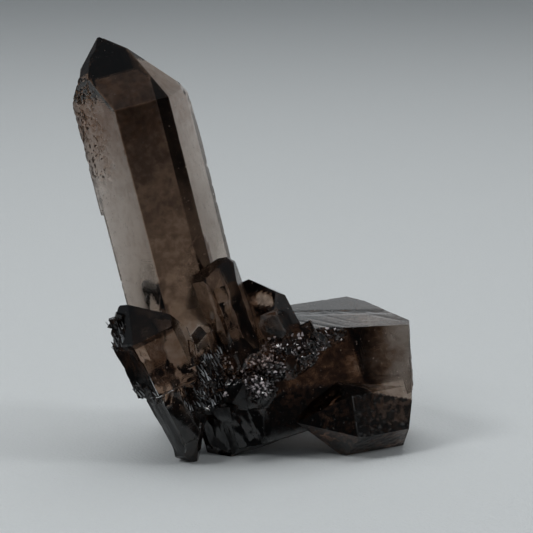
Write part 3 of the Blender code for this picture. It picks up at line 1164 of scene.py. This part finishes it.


# Splinters stand on the breaks, and flecks lie in the clear crystal as small healed cracks, whose pale
# tint is also a painted glint. The sizes are in metres and the densities in pieces on a square metre.
splinters = {
    "seamSplinters": {
        "Mask": "seam",
        "Density": 2400000.0,
        "Width": 0.00027,
        "Length": 0.00055,
        "Grain": (0.6, 0.1, 0.8),
        "Lean": 0.35,
        "Spread": 0.9,
        "Sink": 0.00010,
        "Seed": 3,
    },
    "crumbSplinters": {
        "Mask": "crumb",
        "Density": 3000000.0,
        "Width": 0.00026,
        "Length": 0.0004,
        "Grain": (0.0, -0.6, 0.8),
        "Lean": 0.3,
        "Spread": 1.0,
        "Sink": 0.00012,
        "Seed": 4,
    },
    "streakSplinters": {
        "Mask": "streak",
        "Density": 2200000.0,
        "Width": 0.00015,
        "Length": 0.00115,
        "Grain": (-0.42, -0.1, 0.9),
        "Lean": 0.85,
        "Spread": 0.3,
        "Sink": 0.00010,
        "Seed": 5,
    },
    "healedFlecksAndGlints": {
        "Mask": "fleck",
        "Density": 220000.0,
        "Width": 0.00010,
        "Length": 0.00003,
        "Grain": (-0.3, -0.7, 0.6),
        "Lean": 0.0,
        "Spread": 0.3,
        "Sink": 0.0,
        "Seed": 8,
    },
}


splinterShape = {
    "sides": 6,
    "tipWidth": 0.3,
    "smallest": 0.45,
    "largest": 1.3,
}


def addSockets(tree, sockets):
    for name, kind in sockets:
        tree.interface.new_socket(name, in_out="INPUT", socket_type=kind)
    tree.interface.new_socket("Geometry", in_out="OUTPUT", socket_type="NodeSocketGeometry")


def splinterTree(finish):
    tree = bpy.data.node_groups.new("splinterScatter", "GeometryNodeTree")
    tree.is_modifier = True
    addSockets(tree, (
        ("Geometry", "NodeSocketGeometry"),
        ("Mask", "NodeSocketString"),
        ("Density", "NodeSocketFloat"),
        ("Width", "NodeSocketFloat"),
        ("Length", "NodeSocketFloat"),
        ("Grain", "NodeSocketVector"),
        ("Lean", "NodeSocketFloat"),
        ("Spread", "NodeSocketFloat"),
        ("Sink", "NodeSocketFloat"),
        ("Seed", "NodeSocketInt"),
    ))
    add = tree.nodes.new
    entry = add("NodeGroupInput")
    leave = add("NodeGroupOutput")
    mask = add("GeometryNodeInputNamedAttribute")
    density = calculate(tree, "MULTIPLY", mask.outputs["Attribute"], entry.outputs["Density"])
    scatter = add("GeometryNodeDistributePointsOnFaces")
    inward = calculate(tree, "MULTIPLY", entry.outputs["Sink"], -1.0)
    sink = add("ShaderNodeVectorMath")
    sink.operation = "SCALE"
    move = add("GeometryNodeSetPosition")
    lean = add("FunctionNodeAlignRotationToVector")
    spreadLow = calculate(tree, "MULTIPLY", entry.outputs["Spread"], -1.0)
    turn = add("FunctionNodeRandomValue")
    turn.data_type = "FLOAT_VECTOR"
    rotate = add("FunctionNodeRotateRotation")
    rotate.rotation_space = "LOCAL"
    grow = add("FunctionNodeRandomValue")
    grow.data_type = "FLOAT"
    grow.inputs[2].default_value = splinterShape["smallest"]
    grow.inputs[3].default_value = splinterShape["largest"]
    shape = add("ShaderNodeCombineXYZ")
    size = add("ShaderNodeVectorMath")
    size.operation = "SCALE"
    splinter = add("GeometryNodeMeshCone")
    splinter.inputs["Vertices"].default_value = splinterShape["sides"]
    splinter.inputs["Radius Top"].default_value = splinterShape["tipWidth"]
    splinter.inputs["Radius Bottom"].default_value = 1.0
    splinter.inputs["Depth"].default_value = 1.0
    place = add("GeometryNodeInstanceOnPoints")
    # a random shine for each splinter, which picks the ones whose colour is a painted glint
    shine = add("FunctionNodeRandomValue")
    shine.data_type = "FLOAT"
    keep = add("GeometryNodeStoreNamedAttribute")
    keep.data_type = "FLOAT"
    keep.domain = "INSTANCE"
    keep.inputs["Name"].default_value = "shine"
    realize = add("GeometryNodeRealizeInstances")
    coat = add("GeometryNodeSetMaterial")
    coat.inputs["Material"].default_value = finish
    linkNodes(tree, (
        (entry.outputs["Mask"], mask.inputs["Name"]),
        (entry.outputs["Geometry"], scatter.inputs["Mesh"]),
        (density, scatter.inputs["Density"]),
        (entry.outputs["Seed"], scatter.inputs["Seed"]),
        (scatter.outputs["Normal"], sink.inputs["Vector"]),
        (inward, sink.inputs["Scale"]),
        (scatter.outputs["Points"], move.inputs["Geometry"]),
        (sink.outputs["Vector"], move.inputs["Offset"]),
        (scatter.outputs["Rotation"], lean.inputs["Rotation"]),
        (entry.outputs["Lean"], lean.inputs["Factor"]),
        (entry.outputs["Grain"], lean.inputs["Vector"]),
        (spreadLow, turn.inputs[0]),
        (entry.outputs["Spread"], turn.inputs[1]),
        (entry.outputs["Seed"], turn.inputs["Seed"]),
        (lean.outputs["Rotation"], rotate.inputs["Rotation"]),
        (turn.outputs[0], rotate.inputs["Rotate By"]),
        (entry.outputs["Seed"], grow.inputs["Seed"]),
        (entry.outputs["Width"], shape.inputs["X"]),
        (entry.outputs["Width"], shape.inputs["Y"]),
        (entry.outputs["Length"], shape.inputs["Z"]),
        (shape.outputs["Vector"], size.inputs["Vector"]),
        (grow.outputs[1], size.inputs["Scale"]),
        (move.outputs["Geometry"], place.inputs["Points"]),
        (splinter.outputs["Mesh"], place.inputs["Instance"]),
        (rotate.outputs["Rotation"], place.inputs["Rotation"]),
        (size.outputs["Vector"], place.inputs["Scale"]),
        (place.outputs["Instances"], keep.inputs["Geometry"]),
        (shine.outputs[1], keep.inputs["Value"]),
        (keep.outputs["Geometry"], realize.inputs["Geometry"]),
        (realize.outputs["Geometry"], coat.inputs["Geometry"]),
        (coat.outputs["Geometry"], leave.inputs["Geometry"]),
    ))
    return tree


def scatterOn(base, name, tree, values, finish):
    carrier = bpy.data.objects.new(name + "Carrier", base.data)
    bpy.context.scene.collection.objects.link(carrier)
    modifier = carrier.modifiers.new("scatter", "NODES")
    modifier.node_group = tree
    for item in tree.interface.items_tree:
        if item.in_out == "INPUT" and item.name in values:
            modifier[item.identifier] = values[item.name]
    ready = carrier.evaluated_get(bpy.context.evaluated_depsgraph_get())
    data = bpy.data.meshes.new_from_object(ready)
    bpy.data.objects.remove(carrier)
    data.name = name
    data.materials.clear()
    data.materials.append(finish)
    data.polygons.foreach_set("material_index", [0] * len(data.polygons))
    data.polygons.foreach_set("use_smooth", [False] * len(data.polygons))
    piece = bpy.data.objects.new(name, data)
    bpy.context.scene.collection.objects.link(piece)
    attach(piece, "root")
    print("scattered", name, len(data.polygons), "faces")
    return piece


# The finish of each kind of splinter: its dark tint, its pale tint, which is a painted glint (on the
# crumbs also their own pinkish colour), and the share that stays dark
splinterLooks = {
    "seamSplinters": {
        "dark": (0.034, 0.027, 0.026, 1.0),
        "paleAndGlintTint": (0.80, 0.72, 0.74, 1.0),
        "paleAndGlintFrom": 0.52,
        "roughness": 0.12,
    },
    "crumbSplinters": {
        "dark": (0.15, 0.105, 0.092, 1.0),
        "paleAndGlintTint": (0.66, 0.54, 0.51, 1.0),
        "paleAndGlintFrom": 0.1,
        "roughness": 0.2,
    },
    "streakSplinters": {
        "dark": (0.028, 0.025, 0.023, 1.0),
        "paleAndGlintTint": (0.68, 0.70, 0.73, 1.0),
        "paleAndGlintFrom": 0.45,
        "roughness": 0.12,
    },
    "healedFlecksAndGlints": {
        "dark": (0.20, 0.19, 0.18, 1.0),
        "paleAndGlintTint": (0.42, 0.40, 0.38, 1.0),
        "paleAndGlintFrom": 0.0,
        "roughness": 0.3,
    },
}


def makeSplinterLook(name):
    values = splinterLooks[name]
    look = bpy.data.materials.new(name)
    look.use_nodes = True
    tree = look.node_tree
    shader = tree.nodes["Principled BSDF"]
    shader.inputs["Roughness"].default_value = values["roughness"]
    shader.inputs["IOR"].default_value = quartz["ior"]
    shine = tree.nodes.new("ShaderNodeMapRange")
    shine.inputs["From Min"].default_value = values["paleAndGlintFrom"]
    tree.links.new(readAttribute(tree, "shine"), shine.inputs["Value"])
    # splinters with a high shine value take the pale tint, a painted glint
    tint = mixColours(tree, values["dark"], values["paleAndGlintTint"], shine.outputs["Result"])
    tree.links.new(tint, shader.inputs["Base Color"])
    return look


def makeSplinters(base):
    for name, values in splinters.items():
        finish = makeSplinterLook(name)
        scatterOn(base, name, splinterTree(finish), values, finish)


bpy.context.scene.view_settings.view_transform = "Standard"
makeCamera()
makeFloor()
makeWorld()
makeLamps()
makeSplinters(makeStone())
print("made the stone, floor, lights and camera")
